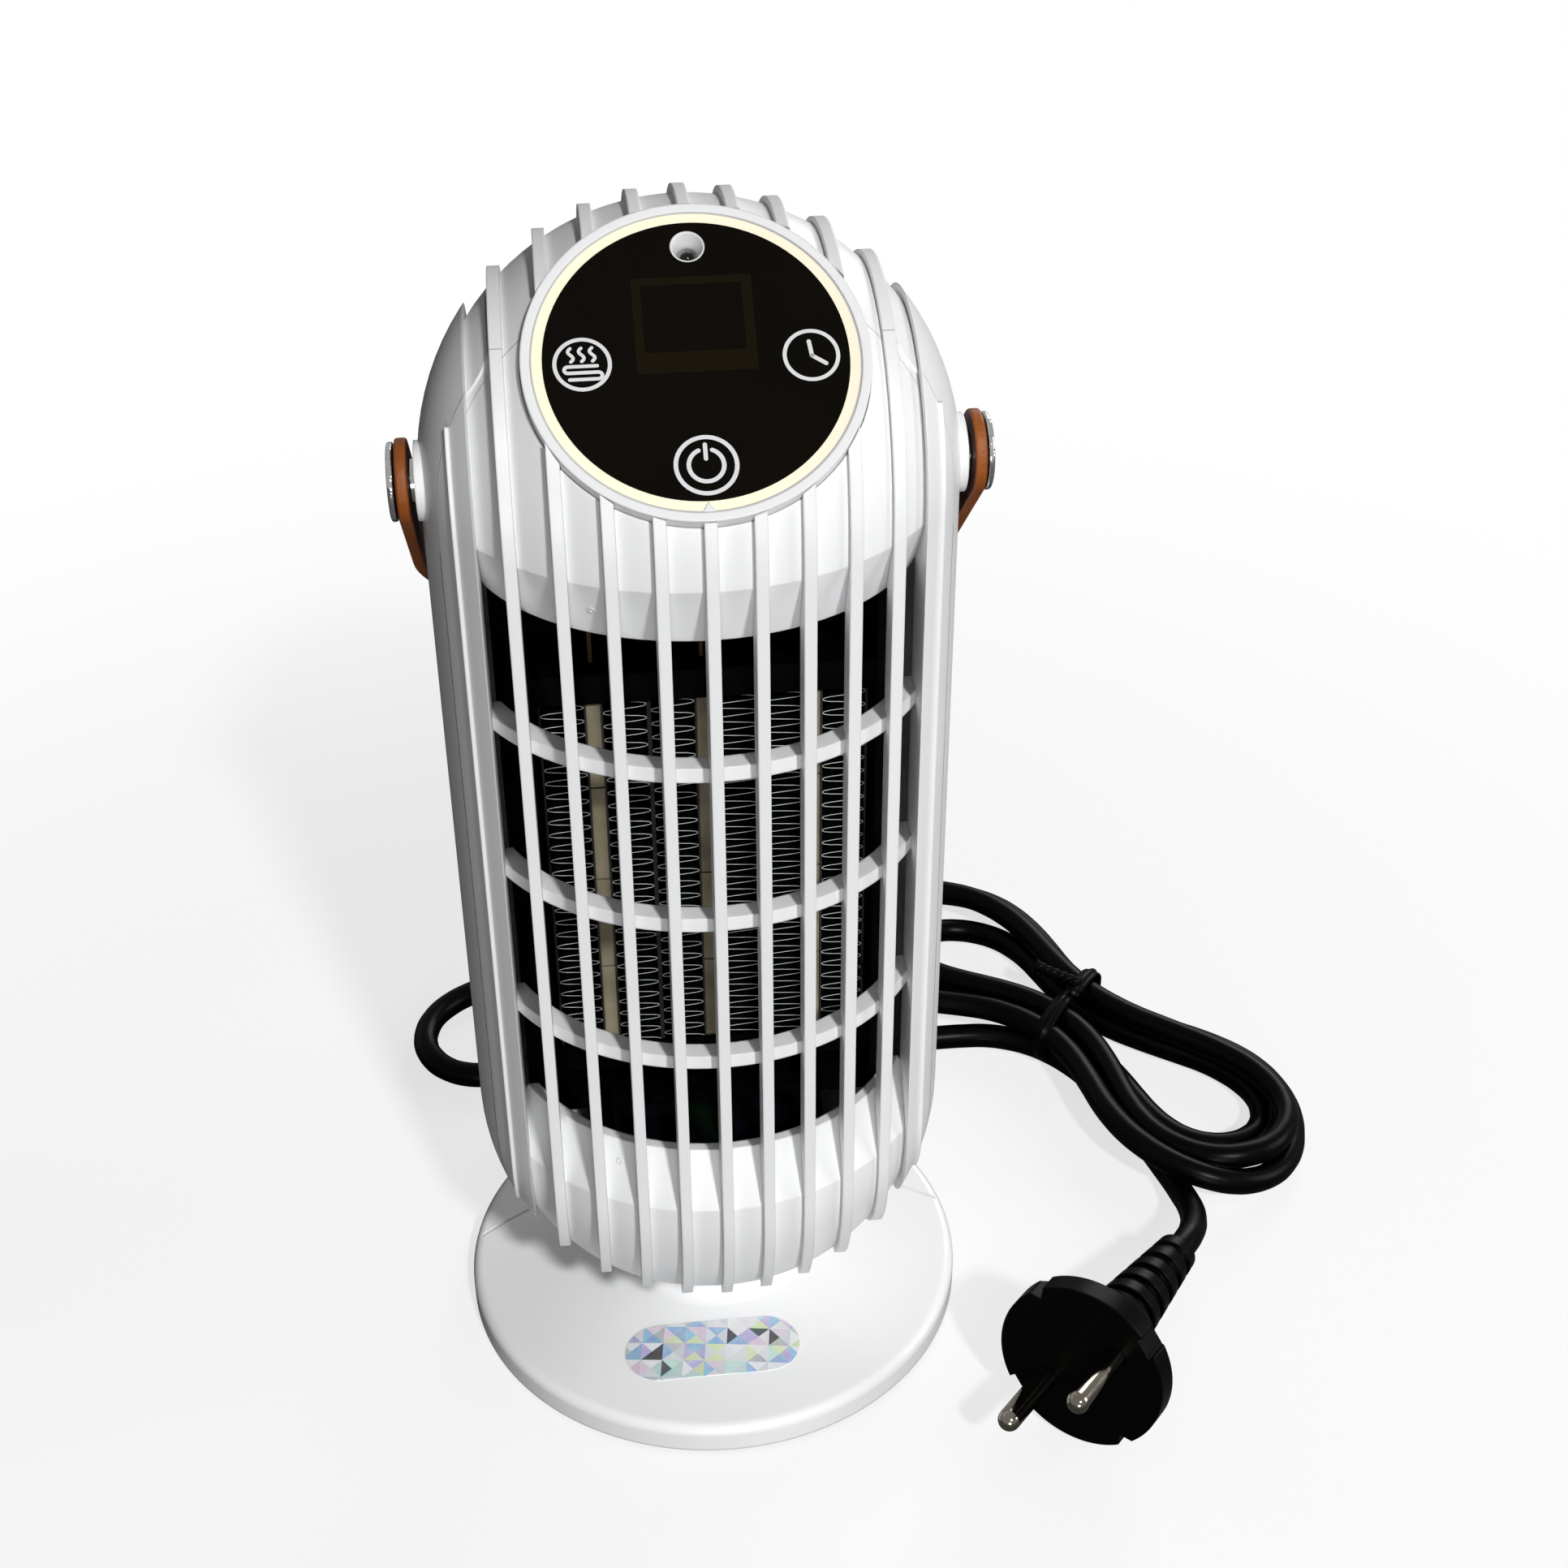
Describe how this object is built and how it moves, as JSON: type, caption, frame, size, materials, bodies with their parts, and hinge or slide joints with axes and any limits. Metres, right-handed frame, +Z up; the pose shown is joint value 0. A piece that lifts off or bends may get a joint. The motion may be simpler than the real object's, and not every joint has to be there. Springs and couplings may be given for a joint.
{
  "type": "ceramic space heater",
  "caption": "Upright capsule-shaped ceramic fan heater on a round base, with a slanted touch panel, front grille, leather carrying strap, tip-over switch and a tied mains cord.",
  "frame": {"origin": "on the floor, on the base's vertical axis (the sole of the tip-over plunger)", "axes": "+Z up; -Y is the front, with the grille and the panel; +X is on the viewer's right when the front is faced"},
  "size_m": [0.2145, 0.2134, 0.2536],
  "materials": {
    "white_shell": "satin",
    "base_shell": "gloss",
    "grey_plastic": "matt",
    "black_plastic": "matt",
    "black_rubber": "satin",
    "light_guide": "translucent cream",
    "dark_glass": "polished black glass",
    "leather": "tan, waxed edges",
    "bright_metal": "polished",
    "screw_steel": "zinc plated",
    "fin_aluminium": "dull",
    "ceramic": "fired ceramic",
    "brass": "plain",
    "foil": "holographic foil",
    "circuit_board": "solder resist",
    "blue_parts": "moulded",
    "wire_brown": "insulation",
    "wire_red": "silicone",
    "wire_black": "insulation",
    "cord_black": "satin"
  },
  "bodies": {
    "stand": {"base_cover": "base_shell", "bottom_plate": "grey_plastic", "rubber_feet": "black_rubber", "base_screws": "screw_steel", "foil_label": "foil", "tip_switch": "black_plastic", "neck_screws": "screw_steel", "bottom_cap": "white_shell", "front_grille": "white_shell", "rear_housing": "white_shell", "housing_screws": "screw_steel", "panel_bezel": "white_shell", "light_ring": "light_guide", "touch_glass": "dark_glass", "receiver_cup": "white_shell", "receiver_eye": "black_plastic", "display_module": "grey_plastic", "control_board": "circuit_board", "control_screws": "screw_steel", "touch_springs": "screw_steel", "air_duct": "black_plastic", "core_holders": "black_plastic", "core_screws": "screw_steel", "ceramic_stones": "ceramic", "contact_plates": "fin_aluminium", "heat_fins": "fin_aluminium", "core_terminals": "brass", "thermal_cutout": "screw_steel", "thermal_fuse": "screw_steel", "fan_motor": "screw_steel", "motor_bracket": "grey_plastic", "motor_screws": "screw_steel", "power_board": "circuit_board", "board_parts": "blue_parts", "board_screws": "screw_steel", "strap_washers": "screw_steel", "pivot_posts": "bright_metal", "pivot_nuts": "screw_steel", "cord_relief": "cord_black", "cord_lead": "cord_black", "cord_hank": "cord_black", "cord_tail": "cord_black", "cord_tie": "cord_black", "plug_body": "cord_black", "plug_pins": "bright_metal", "mains_wires": "wire_brown", "switch_wires": "wire_black", "heater_wires": "wire_red", "fan_wires": "wire_black"},
    "handle": {"leather_strap": "leather"},
    "fan": {"fan_impeller": "grey_plastic", "motor_shaft": "screw_steel"},
    "plunger": {"tip_plunger": "grey_plastic", "tip_spring": "screw_steel"}
  },
  "joints": [
    {"name": "handle_swing", "type": "hinge", "parent": "stand", "child": "handle", "pos_m": [0, -0.0052, 0.2059], "axis": [1, 0, 0], "range_deg": [0, 270]},
    {"name": "fan_spin", "type": "hinge", "parent": "stand", "child": "fan", "pos_m": [0, 0.0136, 0.1248], "axis": [0, 1, 0], "continuous": true},
    {"name": "plunger_drop", "type": "slide", "parent": "stand", "child": "plunger", "axis": [0, 0, -1], "range_m": [0, 0.003], "stiffness_N_per_m": 40, "springref_m": 0.004, "deforming": ["tip_spring"]}
  ]
}
